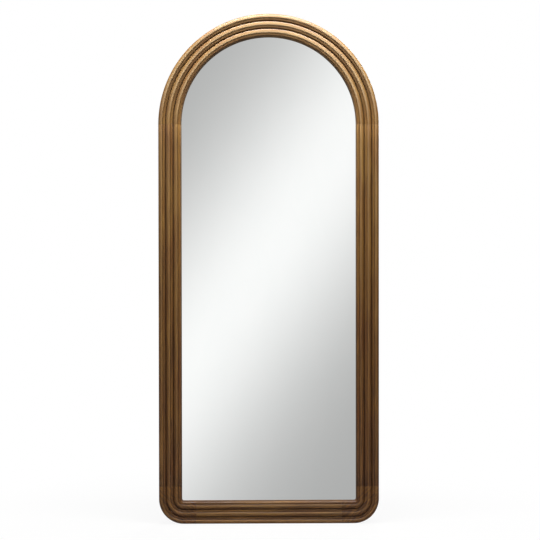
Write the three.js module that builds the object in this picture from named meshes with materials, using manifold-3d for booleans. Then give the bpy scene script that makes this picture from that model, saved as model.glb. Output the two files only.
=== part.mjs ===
// Leaning floor mirror: an arched wooden frame with three reeds round a silvered pane.
// Millimetres. +Z is up and the mirror faces -Y. The origin is on the underside of the
// bottom rail, in the middle of its width and of the wood's depth.

import * as THREE from 'three';
import { mergeVertices } from 'three/addons/utils/BufferGeometryUtils.js';
import Module from 'manifold-3d';

// Outline of the frame
const frameWidth = 813;
const frameHeight = 1880;
const frameDepth = 50;
const sightCornerRadius = 7;
const cornerBlockLength = 138;
const arcPieces = 3;

// Section of the frame: three reeds, each a bead, a quirk, a fillet and a groove
const beadRise = 12;
const outerBeadRise = 11.4;
const outerRollDepth = 11;
const beadFall = 4.5;
const quirkDepth = 2.8;
const quirkWidth = 1.4;
const filletWidth = 4.6;
const filletDepth = 1.6;
const filletSlope = 4.3;
const grooveDepth = 6.5;
const grooveWidth = 1;
const sightWallSlope = 3.2;
const sightDepth = 20;
const backChamfer = 1.5;

// Rebate at the back of the frame, for the glass and the back panel
const glassThickness = 5;
const glassOverlap = 10;
const panelThickness = 6;
const panelOverlap = 14;
const edgeClearance = 1;
const seatClearance = 0.3;

// Glued joints
const glueLine = 0.3;
const tenonWidth = 34;
const tenonThickness = 10;
const tenonLength = 60;
const mortiseClearance = 0.3;

// Panel screws
const screwLength = 16;
const screwDiameter = 3.5;
const screwHeadDiameter = 7;
const screwHeadHeight = 2.2;
const screwHeadDome = 1.1;
const screwPointLength = 3;
const screwHoleClearance = 0.3;
const stileScrews = 3;
const railScrews = 3;

// Ring hangers
const hangerDrop = 180;
const strapWidth = 16;
const strapThickness = 1.5;
const strapCornerRadius = 4;
const strapRollEnd = -80;
const strapScrewPitch = 20;
const strapScrewRoom = 4;
const strapEndDistance = 9;
const ringWire = 3.2;
const ringInnerWidth = 24;
const ringReach = 20;
const ringBend = 4;
const ringSeam = 0.4;
const ringRunningClearance = 0.3;

// Rubber bumpers
const bumperDiameter = 20;
const bumperTopDiameter = 17;
const bumperHeight = 9;
const bumperEdge = 1.2;
const bumperAngle = 18;
const bumperFootHeight = 105;

// Fineness of the curves
const arcSteps = 12;
const cornerSteps = 8;
const beadSteps = 5;
const fallSteps = 3;
const roundSides = 10;
const edgeSteps = 4;
const rollSteps = 6;
const ringSteps = 32;
const ringSides = 8;

// Worked out from the sizes above
const shelfWidth = beadFall + quirkWidth + filletWidth;
const outerReed = outerBeadRise + shelfWidth + filletSlope + grooveWidth;
const middleReed = beadRise + shelfWidth + filletSlope + grooveWidth;
const sightReed = beadRise + shelfWidth + filletSlope + sightWallSlope;
const faceWidth = outerReed + middleReed + sightReed;
const archRadius = frameWidth / 2;
const springHeight = frameHeight - archRadius;
const cornerRadius = faceWidth + sightCornerRadius;
const frontY = -frameDepth / 2;
const backY = frameDepth / 2;

const glassInset = faceWidth - glassOverlap;
const panelInset = glassInset - panelOverlap;
const backMiddle = panelInset / 2;
const screwInset = panelInset + panelOverlap / 2;

const glassFront = frontY + sightDepth + seatClearance;
const glassBack = glassFront + glassThickness;
const panelFront = glassBack + seatClearance;
const panelBack = panelFront + panelThickness;

const arcPieceAngle = Math.PI / arcPieces;
const stileLength = springHeight - cornerBlockLength;
const stileMiddle = (springHeight + cornerBlockLength) / 2;
const railLength = frameWidth - 2 * cornerBlockLength;
const hangerHeight = springHeight - hangerDrop;

const wood = new THREE.MeshStandardMaterial({ color: 0x83623c, roughness: 0.5 });
const paleWood = new THREE.MeshStandardMaterial({ color: 0xc8a878, roughness: 0.8 });
const silver = new THREE.MeshStandardMaterial({ color: 0xdfe3e4, roughness: 0.03, metalness: 1 });
const board = new THREE.MeshStandardMaterial({ color: 0x5b4330, roughness: 0.85 });
const zinc = new THREE.MeshStandardMaterial({ color: 0xb4b6b8, roughness: 0.35, metalness: 1 });
const rubber = new THREE.MeshStandardMaterial({ color: 0x1e1e1f, roughness: 0.8 });

// ---- joining and cutting ----

const wasm = await Module();
wasm.setup();

function toSolid(geometry) {
  const bare = geometry.clone();
  bare.deleteAttribute('normal');
  bare.deleteAttribute('uv');
  const merged = mergeVertices(bare);
  return new wasm.Manifold(new wasm.Mesh({
    numProp: 3,
    vertProperties: new Float32Array(merged.attributes.position.array),
    triVerts: new Uint32Array(merged.index.array),
  }));
}

function toGeometry(solid) {
  const mesh = solid.getMesh();
  const geometry = new THREE.BufferGeometry();
  geometry.setAttribute('position', new THREE.BufferAttribute(mesh.vertProperties, 3));
  geometry.setIndex(new THREE.BufferAttribute(mesh.triVerts, 1));
  geometry.computeVertexNormals();
  return geometry;
}

function cut(geometry, tools) {
  let solid = toSolid(geometry);
  for (const tool of tools) {
    solid = solid.subtract(toSolid(tool));
  }
  return toGeometry(solid);
}

// ---- the frame's section ----

// Points of a quarter of an ellipse about (x, y), without its first point.
function quarter(x, y, radiusX, radiusY, startAngle, steps) {
  const points = [];
  for (let i = 1; i <= steps; i += 1) {
    const angle = startAngle + (i / steps) * (Math.PI / 2);
    points.push(new THREE.Vector2(x + radiusX * Math.cos(angle), y + radiusY * Math.sin(angle)));
  }
  return points;
}

// One reed from its outer foot: the bead, the quirk, the fillet and the fall to the next groove.
function reedPoints(start, rise, footDepth) {
  const crest = start + rise;
  const quirk = crest + beadFall + quirkWidth;
  const edge = quirk + filletWidth;
  return [
    ...quarter(crest, footDepth, rise, footDepth, Math.PI, beadSteps),
    ...quarter(crest, quirkDepth, beadFall, quirkDepth, 1.5 * Math.PI, fallSteps),
    new THREE.Vector2(quirk, quirkDepth),
    new THREE.Vector2(quirk, filletDepth),
    new THREE.Vector2(edge, filletDepth),
    ...quarter(edge, grooveDepth, filletSlope, grooveDepth - filletDepth, 1.5 * Math.PI, fallSteps),
  ];
}

// The whole section: x runs from the outer edge to the glass, y from the crests to the back.
function frameSection() {
  const shoulder = glassBack - frontY;
  return [
    new THREE.Vector2(0, outerRollDepth),
    ...reedPoints(0, outerBeadRise, outerRollDepth),
    new THREE.Vector2(outerReed, grooveDepth),
    ...reedPoints(outerReed, beadRise, grooveDepth),
    new THREE.Vector2(outerReed + middleReed, grooveDepth),
    ...reedPoints(outerReed + middleReed, beadRise, grooveDepth),
    new THREE.Vector2(faceWidth, sightDepth),
    new THREE.Vector2(glassInset, sightDepth),
    new THREE.Vector2(glassInset, shoulder),
    new THREE.Vector2(panelInset, shoulder),
    new THREE.Vector2(panelInset, frameDepth - backChamfer),
    new THREE.Vector2(panelInset - backChamfer, frameDepth),
    new THREE.Vector2(backChamfer, frameDepth),
    new THREE.Vector2(0, frameDepth - backChamfer),
  ];
}

const section = frameSection();

// Sweeps the section through stations, each of which turns an inset into a place in X and Z.
function sweep(stations) {
  const positions = [];
  for (const station of stations) {
    for (const point of section) {
      const place = station(point.x);
      positions.push(place.x, frontY + point.y, place.y);
    }
  }
  const count = section.length;
  const last = (stations.length - 1) * count;
  const index = [];
  for (let ring = 0; ring < last; ring += count) {
    for (let i = 0; i < count; i += 1) {
      const a = ring + i;
      const b = ring + ((i + 1) % count);
      index.push(a, b, a + count, b, b + count, a + count);
    }
  }
  for (const [a, b, c] of THREE.ShapeUtils.triangulateShape(section, [])) {
    index.push(a, c, b, last + a, last + b, last + c);
  }
  const geometry = new THREE.BufferGeometry();
  geometry.setAttribute('position', new THREE.Float32BufferAttribute(positions, 3));
  geometry.setIndex(index);
  return geometry;
}

// ---- tenons, screws and the holes for them ----

// A bar with flat sides and half-round edges: x is its width, y its thickness, z its length.
function roundedBar(width, thickness, length) {
  const radius = thickness / 2;
  const reach = width / 2 - radius;
  const shape = new THREE.Shape();
  shape.absarc(reach, 0, radius, -Math.PI / 2, Math.PI / 2, false);
  shape.absarc(-reach, 0, radius, Math.PI / 2, 1.5 * Math.PI, false);
  const bar = new THREE.ExtrudeGeometry(shape, {
    depth: length,
    bevelEnabled: false,
    curveSegments: edgeSteps,
  });
  return bar.translate(0, 0, -length / 2);
}

const tenonY = frontY + (grooveDepth + frameDepth) / 2;

// Half of this room goes into each of two pieces, across their joint at (x, z).
function mortise(x, z, turn) {
  const room = 2 * mortiseClearance;
  const tool = roundedBar(tenonWidth + room, tenonThickness + room, tenonLength + room);
  return tool.rotateY(turn).translate(x, tenonY, z);
}

// A round bar along Y.
function rod(radius, fromY, toY, x, z) {
  const bar = new THREE.CylinderGeometry(radius, radius, toY - fromY, roundSides);
  return bar.translate(x, (fromY + toY) / 2, z);
}

const screwHoleRadius = screwDiameter / 2 + screwHoleClearance;
const panelScrewY = panelBack + seatClearance;

// A hole for a screw with the underside of its head at headY, open to the face at faceY.
function screwHole(headY, faceY, x, z) {
  const tipY = headY - screwLength - screwHoleClearance;
  return rod(screwHoleRadius, tipY, faceY + seatClearance, x, z);
}

// A round-headed screw along Y: the underside of its head is on y = 0, its point at -Y.
function screwGeometry() {
  const shank = screwDiameter / 2;
  const head = screwHeadDiameter / 2;
  const points = [
    new THREE.Vector2(0, -screwLength),
    new THREE.Vector2(shank, -screwLength + screwPointLength),
    new THREE.Vector2(shank, 0),
    new THREE.Vector2(head, 0),
    new THREE.Vector2(head, screwHeadHeight - screwHeadDome),
    new THREE.Vector2(head - screwHeadDome, screwHeadHeight),
    new THREE.Vector2(0, screwHeadHeight),
  ];
  return new THREE.LatheGeometry(points, roundSides);
}

const screwShape = screwGeometry();

// ---- pieces of the frame, each with the places of its panel screws ----

// Middles of equal stretches of a length, measured from the middle of the length.
function spread(count, length) {
  return Array.from({ length: count }, (_, i) => ((i + 0.5) / count - 0.5) * length);
}

// A straight piece along Z, with its outer edge on x = 0.
function straightPiece(length, screwCount, otherHoles) {
  const half = (length - glueLine) / 2;
  const bar = sweep([
    (inset) => new THREE.Vector2(inset, -half),
    (inset) => new THREE.Vector2(inset, half),
  ]);
  const screws = spread(screwCount, length).map((z) => new THREE.Vector3(screwInset, 0, z));
  const tools = [
    mortise(backMiddle, length / 2, 0),
    mortise(backMiddle, -length / 2, 0),
    ...screws.map((screw) => screwHole(panelScrewY, glassBack, screw.x, screw.z)),
    ...otherHoles,
  ];
  return { shape: cut(bar, tools), screws };
}

// A curved piece of the arch about the arch's centre, with its middle on -X.
function archPiece() {
  const half = arcPieceAngle / 2;
  const end = half - glueLine / 2 / archRadius;
  const stations = [];
  for (let i = 0; i <= arcSteps; i += 1) {
    const angle = Math.PI + end * (1 - (2 * i) / arcSteps);
    stations.push((inset) => new THREE.Vector2(
      (archRadius - inset) * Math.cos(angle),
      (archRadius - inset) * Math.sin(angle),
    ));
  }
  const screw = new THREE.Vector3(screwInset - archRadius, 0, 0);
  const tools = [screwHole(panelScrewY, glassBack, screw.x, screw.z)];
  for (const turn of [half, -half]) {
    const radius = archRadius - backMiddle;
    tools.push(mortise(-radius * Math.cos(turn), radius * Math.sin(turn), turn));
  }
  return { shape: cut(sweep(stations), tools), screws: [screw] };
}

// The lower left corner: its outer edges, carried on, would cross on the origin.
function cornerPiece() {
  const end = cornerBlockLength - glueLine / 2;
  const stations = [(inset) => new THREE.Vector2(end, inset)];
  for (let i = 0; i <= cornerSteps; i += 1) {
    const angle = 1.5 * Math.PI - (i / cornerSteps) * (Math.PI / 2);
    stations.push((inset) => new THREE.Vector2(
      cornerRadius + (cornerRadius - inset) * Math.cos(angle),
      cornerRadius + (cornerRadius - inset) * Math.sin(angle),
    ));
  }
  stations.push((inset) => new THREE.Vector2(inset, end));
  const tools = [
    mortise(backMiddle, cornerBlockLength, 0),
    mortise(cornerBlockLength, backMiddle, Math.PI / 2),
  ];
  return { shape: cut(sweep(stations), tools), screws: [] };
}

// ---- glass and back panel ----

// The frame's outer outline, moved inwards by an inset.
function outline(inset) {
  const side = archRadius - inset;
  const corner = cornerRadius - inset;
  const cornerX = archRadius - cornerRadius;
  const shape = new THREE.Shape();
  for (let i = 0; i < arcPieces; i += 1) {
    shape.absarc(0, springHeight, side, i * arcPieceAngle, (i + 1) * arcPieceAngle, false);
  }
  shape.absarc(-cornerX, cornerRadius, corner, Math.PI, 1.5 * Math.PI, false);
  shape.absarc(cornerX, cornerRadius, corner, 1.5 * Math.PI, 2 * Math.PI, false);
  return shape;
}

// A flat plate whose shape lies in X and Z. Each arc of the shape is cut into a number of steps.
function slab(shape, fromY, toY, steps) {
  const plate = new THREE.ExtrudeGeometry(shape, {
    depth: toY - fromY,
    bevelEnabled: false,
    curveSegments: steps / 2,
  });
  return plate.rotateX(Math.PI / 2).translate(0, toY, 0);
}

function panelGeometry(screwPlaces) {
  const shape = outline(panelInset + edgeClearance);
  const holes = screwPlaces.map((place) => rod(
    screwHoleRadius,
    panelFront - seatClearance,
    panelBack + seatClearance,
    place.x,
    place.z,
  ));
  return cut(slab(shape, panelFront, panelBack, arcSteps), holes);
}

// ---- ring hanger: the wood is y = 0, and the ring turns about X at z = 0 ----

const rollInner = ringWire / 2 + ringRunningClearance;
const rollOuter = rollInner + strapThickness;
const ringAxisY = seatClearance + rollOuter;
const strapScrewY = seatClearance + strapThickness + seatClearance;
const firstScrewDrop = ringReach + ringWire / 2 + strapScrewRoom + screwHeadDiameter / 2;
const strapScrewDrops = [firstScrewDrop, firstScrewDrop + strapScrewPitch];
const strapLength = firstScrewDrop + strapScrewPitch + strapEndDistance;

// A bent strip of steel, flat on the wood and rolled round the ring at its top.
function strapGeometry() {
  const rollEnd = THREE.MathUtils.degToRad(strapRollEnd);
  const side = new THREE.Shape();
  side.moveTo(0, -strapLength);
  side.lineTo(strapThickness, -strapLength);
  side.absarc(rollOuter, 0, rollInner, Math.PI, rollEnd, true);
  side.absarc(rollOuter, 0, rollOuter, rollEnd, Math.PI, false);
  const strip = new THREE.ExtrudeGeometry(side, {
    depth: strapWidth,
    bevelEnabled: false,
    curveSegments: rollSteps,
  });
  strip.rotateX(Math.PI / 2).rotateZ(Math.PI / 2).translate(-strapWidth / 2, seatClearance, 0);
  const holes = strapScrewDrops.map((drop) => rod(screwHoleRadius, 0, strapScrewY, 0, -drop));
  const half = strapWidth / 2;
  const cornerX = half - strapCornerRadius;
  const cornerZ = strapCornerRadius - strapLength;
  const face = new THREE.Shape();
  face.moveTo(half, rollOuter + seatClearance);
  face.lineTo(-half, rollOuter + seatClearance);
  face.absarc(-cornerX, cornerZ, strapCornerRadius, Math.PI, 1.5 * Math.PI, false);
  face.absarc(cornerX, cornerZ, strapCornerRadius, 1.5 * Math.PI, 2 * Math.PI, false);
  const rounded = toSolid(slab(face, 0, 2 * rollOuter + 2 * seatClearance, 2 * edgeSteps));
  return cut(toGeometry(toSolid(strip).intersect(rounded)), holes);
}

// A flat path, carried into X and Z.
class FlatCurve extends THREE.Curve {
  constructor(path) {
    super();
    this.path = path;
  }

  getPoint(t) {
    const point = this.path.getPoint(t);
    return new THREE.Vector3(point.x, 0, point.y);
  }
}

// Round wire bent to a D, whose ends meet in the middle of its straight side.
function ringGeometry() {
  const half = (ringInnerWidth + ringWire) / 2;
  const path = new THREE.Path();
  path.moveTo(ringSeam / 2, 0);
  path.lineTo(half - ringBend, 0);
  path.absarc(half - ringBend, -ringBend, ringBend, Math.PI / 2, 0, true);
  path.absarc(0, half - ringReach, half, 0, -Math.PI, true);
  path.absarc(ringBend - half, -ringBend, ringBend, Math.PI, Math.PI / 2, true);
  path.lineTo(-ringSeam / 2, 0);
  const wire = new THREE.Shape();
  wire.absarc(0, 0, ringWire / 2, 0, 2 * Math.PI, false);
  return new THREE.ExtrudeGeometry(wire, {
    steps: ringSteps,
    extrudePath: new FlatCurve(path),
    curveSegments: ringSides / 2,
  });
}

function bumperGeometry() {
  const base = bumperDiameter / 2;
  const top = bumperTopDiameter / 2;
  const points = [
    new THREE.Vector2(0, 0),
    new THREE.Vector2(base, 0),
    new THREE.Vector2(top, bumperHeight - bumperEdge),
    new THREE.Vector2(top - bumperEdge, bumperHeight),
    new THREE.Vector2(0, bumperHeight),
  ];
  return new THREE.LatheGeometry(points, 2 * roundSides);
}

// ---- assembly ----

const mirror = new THREE.Group();

function addMesh(parent, name, shape, material, x, y, z) {
  const mesh = new THREE.Mesh(shape, material);
  mesh.name = name;
  mesh.position.set(x, y, z);
  parent.add(mesh);
  return mesh;
}

const panelScrews = [];

// Sets a piece of the frame in its place, with the panel screws that are driven into it.
function placeFramePiece(name, piece, turn, x, z) {
  const group = new THREE.Group();
  group.rotation.y = turn;
  group.position.set(x, 0, z);
  mirror.add(group);
  addMesh(group, name, piece.shape, wood, 0, 0, 0);
  group.updateMatrix();
  for (const screw of piece.screws) {
    panelScrews.push(screw.clone().applyMatrix4(group.matrix));
  }
}

const arch = archPiece();
placeFramePiece('left_haunch', arch, Math.PI / 2 - arcPieceAngle, 0, springHeight);
placeFramePiece('crown_segment', arch, Math.PI / 2, 0, springHeight);
placeFramePiece('right_haunch', arch, Math.PI / 2 + arcPieceAngle, 0, springHeight);

const stileEdge = archRadius - backMiddle;

// The holes in a stile for its hanger's screws; turned is -1 where the stile stands on its head.
function hangerHoles(turned) {
  return strapScrewDrops.map((drop) => {
    const height = turned * (hangerHeight - drop - stileMiddle);
    return screwHole(backY + strapScrewY, backY, backMiddle, height);
  });
}

const leftStile = straightPiece(stileLength, stileScrews, hangerHoles(1));
const rightStile = straightPiece(stileLength, stileScrews, hangerHoles(-1));
const rail = straightPiece(railLength, railScrews, []);
const corner = cornerPiece();
placeFramePiece('left_stile', leftStile, 0, -archRadius, stileMiddle);
placeFramePiece('right_stile', rightStile, Math.PI, archRadius, stileMiddle);
placeFramePiece('left_corner_block', corner, 0, -archRadius, 0);
placeFramePiece('right_corner_block', corner, -Math.PI / 2, archRadius, 0);
placeFramePiece('bottom_rail', rail, -Math.PI / 2, 0, 0);

const tenonShape = roundedBar(tenonWidth, tenonThickness, tenonLength);

function placeTenon(name, turn, x, z) {
  addMesh(mirror, name, tenonShape, paleWood, x, tenonY, z).rotation.y = turn;
}

for (const [sideName, side] of [['left', -1], ['right', 1]]) {
  const crownJoint = Math.PI / 2 - side * (arcPieceAngle / 2);
  placeTenon(
    `tenon_crown_${sideName}`,
    -crownJoint,
    stileEdge * Math.cos(crownJoint),
    springHeight + stileEdge * Math.sin(crownJoint),
  );
  placeTenon(`tenon_spring_${sideName}`, 0, side * stileEdge, springHeight);
  placeTenon(`tenon_foot_${sideName}`, 0, side * stileEdge, cornerBlockLength);
  placeTenon(
    `tenon_rail_${sideName}`,
    Math.PI / 2,
    side * (archRadius - cornerBlockLength),
    backMiddle,
  );
}

const glassOutline = outline(glassInset + edgeClearance);
const glassShape = slab(glassOutline, glassFront, glassBack, arcSteps);
addMesh(mirror, 'mirror_glass', glassShape, silver, 0, 0, 0);
addMesh(mirror, 'back_panel', panelGeometry(panelScrews), board, 0, 0, 0);
panelScrews.forEach((place, i) => {
  addMesh(mirror, `panel_screw_${i + 1}`, screwShape, zinc, place.x, panelScrewY, place.z);
});

const strapShape = strapGeometry();
const ringShape = ringGeometry();
const bumperShape = bumperGeometry();
const bumperTurn = THREE.MathUtils.degToRad(bumperAngle);

for (const [sideName, side] of [['left', -1], ['right', 1]]) {
  const hanger = new THREE.Group();
  hanger.position.set(side * stileEdge, backY, hangerHeight);
  mirror.add(hanger);
  addMesh(hanger, `hanger_strap_${sideName}`, strapShape, zinc, 0, 0, 0);
  addMesh(hanger, `hanger_ring_${sideName}`, ringShape, zinc, 0, ringAxisY, 0);
  strapScrewDrops.forEach((drop, i) => {
    const name = `hanger_screw_${sideName}_${i + 1}`;
    addMesh(hanger, name, screwShape, zinc, 0, strapScrewY, -drop);
  });
  const bumperY = backY + seatClearance;
  const topX = side * stileEdge * Math.sin(bumperTurn);
  const topZ = springHeight + stileEdge * Math.cos(bumperTurn);
  addMesh(mirror, `top_bumper_${sideName}`, bumperShape, rubber, topX, bumperY, topZ);
  const footX = side * stileEdge;
  addMesh(mirror, `foot_bumper_${sideName}`, bumperShape, rubber, footX, bumperY, bumperFootHeight);
}

export default mirror;
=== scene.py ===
# %% [markdown]
# # A leaning floor mirror
#
# The mirror is an arched wooden frame with three reeds round a silvered pane. How it is
# built is settled already: each piece of wood, each screw and both hanging rings come in
# as a fixed frame of plain solids, in metres. This lesson makes the fine surface of every
# piece in the place of its solid. Each code cell prints what it made or measured.

# %% Load the frame
import math

import bmesh
import bpy
import numpy as np
from mathutils import Matrix, Vector


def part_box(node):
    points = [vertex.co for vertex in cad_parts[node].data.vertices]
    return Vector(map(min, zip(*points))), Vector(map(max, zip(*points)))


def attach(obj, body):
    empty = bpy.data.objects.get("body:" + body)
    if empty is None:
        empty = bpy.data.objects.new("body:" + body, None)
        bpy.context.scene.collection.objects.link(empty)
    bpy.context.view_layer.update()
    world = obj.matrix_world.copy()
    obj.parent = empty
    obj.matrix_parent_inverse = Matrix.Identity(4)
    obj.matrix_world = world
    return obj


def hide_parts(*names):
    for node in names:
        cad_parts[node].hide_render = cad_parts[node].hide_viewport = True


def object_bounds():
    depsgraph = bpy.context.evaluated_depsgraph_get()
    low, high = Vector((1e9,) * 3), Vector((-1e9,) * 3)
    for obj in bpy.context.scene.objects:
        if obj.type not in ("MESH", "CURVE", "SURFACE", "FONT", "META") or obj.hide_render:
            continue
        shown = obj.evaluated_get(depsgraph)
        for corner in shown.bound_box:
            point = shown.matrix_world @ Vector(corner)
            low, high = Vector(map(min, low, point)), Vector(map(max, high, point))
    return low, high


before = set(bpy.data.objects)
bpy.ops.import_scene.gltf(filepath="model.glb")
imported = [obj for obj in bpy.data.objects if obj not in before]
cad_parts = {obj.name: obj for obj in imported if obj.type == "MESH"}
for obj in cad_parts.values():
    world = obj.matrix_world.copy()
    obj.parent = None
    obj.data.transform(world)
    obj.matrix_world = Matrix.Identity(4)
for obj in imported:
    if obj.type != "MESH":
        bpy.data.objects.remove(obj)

solid_low, solid_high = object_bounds()
print("pieces in the frame:", len(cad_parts))
print("box of the solids:", [round(v, 4) for v in (*solid_low, *solid_high)])

# %% [markdown]
# ## The camera
#
# The photograph is taken nearly square on, at the height of the mirror's middle. Its
# upright edges lean together by less than a pixel, so the camera is far away, a little
# above the middle and a little to the left. A long lens from 4.5 metres gives the same
# picture. A short lens close by would open the reeds on one side and close them on
# the other, which the photograph doesn't show.

# %% Camera
def put(name, data):
    """Makes an object out of its data and puts it in the scene."""
    thing = bpy.data.objects.new(name, data)
    bpy.context.scene.collection.objects.link(thing)
    return thing


camera_place = Vector((-0.052, -4.5025, 0.985))
camera_turn = math.radians(0.72)
camera_dip = math.radians(0.61)
camera_roll = math.radians(0.07)
lens_length = 81.1

lens = bpy.data.cameras.new("camera")
lens.lens = lens_length
lens.sensor_width = 36
camera = put("camera", lens)
camera.location = camera_place
camera.rotation_euler = (math.pi / 2 - camera_dip, camera_roll, -camera_turn)
bpy.context.scene.camera = camera
bpy.context.scene.view_settings.view_transform = "Standard"
print("camera is", round(-camera_place.y, 2), "m from the mirror")

# %% [markdown]
# ## Small helpers for materials
#
# A material here is a handful of nodes: some noise, stretched the way the real surface
# is stretched, then colours, then one shader. These helpers add a node, feed it numbers
# or the outputs of other nodes, and give back an output, so that a recipe reads from top
# to bottom like a paint shop's notes.

# %% Helpers for nodes
def tint(red, green, blue):
    """A colour as a screen shows it, 0 to 255, turned into the light values that shaders use."""
    light = []
    for value in (red, green, blue):
        share = value / 255
        light.append(share / 12.92 if share <= 0.04045 else ((share + 0.055) / 1.055) ** 2.4)
    return (*light, 1.0)


def add(tree, kind, sockets=None, **settings):
    """Adds a node. Settings are its own options, and sockets holds the values it starts with."""
    node = tree.nodes.new(kind)
    for name, value in settings.items():
        setattr(node, name, value)
    for name, value in (sockets or {}).items():
        feed(tree, value, node.inputs[name])
    return node


def feed(tree, value, socket):
    """Joins an output to a socket, or writes a plain value on it."""
    if isinstance(value, bpy.types.NodeSocket):
        tree.links.new(value, socket)
    else:
        socket.default_value = value


def calculate(tree, operation, *values):
    node = add(tree, "ShaderNodeMath", operation=operation)
    for socket, value in zip(node.inputs, values):
        feed(tree, value, socket)
    return node.outputs[0]


def times(tree, value, by, plus=None):
    """A value times another, and plus a third where one is given."""
    if plus is None:
        return calculate(tree, "MULTIPLY", value, by)
    return calculate(tree, "MULTIPLY_ADD", value, by, plus)


def spread(tree, value, low, high, to_low=0.0, to_high=1.0):
    """Stretches the part of a value between low and high over another range."""
    sockets = {"Value": value, "From Min": low, "From Max": high}
    sockets.update({"To Min": to_low, "To Max": to_high})
    return add(tree, "ShaderNodeMapRange", sockets).outputs["Result"]


def mixed(tree, share, first, second, blend="MIX"):
    """Mixes two colours. Sockets 6 and 7 are the colours of a mix node."""
    node = add(tree, "ShaderNodeMix", {0: share}, data_type="RGBA", blend_type=blend)
    feed(tree, first, node.inputs[6])
    feed(tree, second, node.inputs[7])
    return node.outputs[2]


def own_place(tree):
    """Where a point lies in its object, in metres."""
    return add(tree, "ShaderNodeTexCoord").outputs["Object"]


def stretched_noise(tree, place, per_metre, detail=3.0, distortion=0.0):
    """Noise with so many features in a metre along each of three directions."""
    sockets = {0: place, 1: per_metre}
    scaled = add(tree, "ShaderNodeVectorMath", sockets, operation="MULTIPLY").outputs[0]
    sockets = {"Vector": scaled, "Scale": 1.0, "Detail": detail}
    sockets.update({"Roughness": 0.55, "Distortion": distortion})
    return add(tree, "ShaderNodeTexNoise", sockets).outputs["Fac"]


def new_material(name, **shader):
    """A material with one Principled shader, whose plain values are written on its sockets."""
    material = bpy.data.materials.new(name)
    material.use_nodes = True
    shader_node = material.node_tree.nodes["Principled BSDF"]
    for socket, value in shader.items():
        shader_node.inputs[socket.replace("_", " ")].default_value = value
    return material, material.node_tree, shader_node


def paint_with(tree, shader_node, colour, rough):
    """Feeds a shader its colour and its roughness."""
    feed(tree, colour, shader_node.inputs["Base Color"])
    feed(tree, rough, shader_node.inputs["Roughness"])


def raise_surface(tree, shader_node, height, depth, strength):
    """Lets a height, 0 to 1, stand up by a depth in metres."""
    sockets = {"Strength": strength, "Distance": depth, "Height": height}
    bump = add(tree, "ShaderNodeBump", sockets)
    feed(tree, bump.outputs["Normal"], shader_node.inputs["Normal"])


print("helpers for nodes are ready")

# %% [markdown]
# ## The studio
#
# A mirror shows its surroundings, so they are part of its look. The photograph's pane is
# pale grey at the upper left and the lower right, with one white band across it. The
# world makes that band: rays that leave the pane see a brightness that swells and fades
# across a slanted line, straight ahead of the mirror, and a dim room to the sides. Rays
# from the camera see plain white. The key lamp is a long strip right above the crown. It
# lights all that faces up, leaves what faces down dark, and fades towards the foot. A
# small box at the upper right lights the face of the frame, a weak one at the left
# rounds the beads, and one behind shows the back.

# %% World, seen in the glass
band_slant = math.radians(36)
band_offset = 0.006
band_width = 0.086
band_rise = 0.56
room_grey = 0.43
window_edge = 0.26
window_fade = 0.5
side_grey = 0.16
fill_light = 0.05


def reflected_room(tree):
    """Brightness of the room by direction: a band of light on grey ahead, and dim round it."""
    toward = add(tree, "ShaderNodeTexCoord").outputs["Generated"]
    part = add(tree, "ShaderNodeSeparateXYZ", {0: toward}).outputs
    ahead = calculate(tree, "MAXIMUM", times(tree, part["Y"], -1.0), 0.05)
    sideways = calculate(tree, "DIVIDE", part["X"], ahead)
    upwards = calculate(tree, "DIVIDE", part["Z"], ahead)
    right = times(tree, sideways, math.cos(band_slant) / band_width)
    down = times(tree, upwards, -math.sin(band_slant) / band_width)
    across = calculate(tree, "ADD", right, down)
    across = calculate(tree, "SUBTRACT", across, band_offset / band_width)
    squared = times(tree, across, across)
    fall = calculate(tree, "EXPONENT", times(tree, squared, -1.0))
    band = times(tree, fall, band_rise, room_grey)
    from_middle = [calculate(tree, "ABSOLUTE", way) for way in (sideways, upwards)]
    outside = spread(tree, calculate(tree, "MAXIMUM", *from_middle), window_edge, window_fade)
    inside_share = calculate(tree, "SUBTRACT", 1.0, outside)
    band = times(tree, band, inside_share)
    return times(tree, outside, side_grey, band)


world = bpy.data.worlds.new("studio")
bpy.context.scene.world = world
world.use_nodes = True
sky = world.node_tree
sky.nodes.clear()
rays = add(sky, "ShaderNodeLightPath").outputs
seen, room, fill = [
    add(sky, "ShaderNodeBackground", {"Color": (1, 1, 1, 1), "Strength": strength}).outputs[0]
    for strength in (1.0, reflected_room(sky), fill_light)
]
mirrored = calculate(sky, "MAXIMUM", rays["Is Glossy Ray"], rays["Is Transmission Ray"])
indoors = add(sky, "ShaderNodeMixShader", {0: mirrored, 1: fill, 2: room}).outputs[0]
whole = add(sky, "ShaderNodeMixShader", {0: rays["Is Camera Ray"], 1: indoors, 2: seen})
add(sky, "ShaderNodeOutputWorld", {"Surface": whole.outputs[0]})
print("world is white to the camera and", room_grey, "to", room_grey + band_rise, "in the glass")

# %% Lamps
def soft_box(name, place, target, width, height, power):
    """A flat lamp that faces its target. Lengths are in metres, and its power in watts."""
    light = bpy.data.lights.new(name, "AREA")
    light.shape = "RECTANGLE"
    light.size = width
    light.size_y = height
    light.energy = power
    lamp = put(name, light)
    lamp.location = place
    lamp.rotation_euler = (Vector(target) - Vector(place)).to_track_quat("-Z", "Y").to_euler()
    return lamp


mirror_middle = (solid_low + solid_high) / 2
crown_top = (0, 0, solid_high.z)
lamps = [
    soft_box("overhead_strip", (0, -0.36, 3.1), crown_top, 1.7, 0.3, 94),
    soft_box("upper_right_box", (0.9, -0.9, 2.9), mirror_middle, 0.6, 0.6, 22),
    soft_box("left_box", (-2.2, -1.2, 2.2), mirror_middle, 0.8, 1.6, 12),
    soft_box("back_box", (1.2, 3.2, 2.4), mirror_middle, 1.6, 1.6, 90),
]
print("lamps:", [lamp.name for lamp in lamps])

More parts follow.
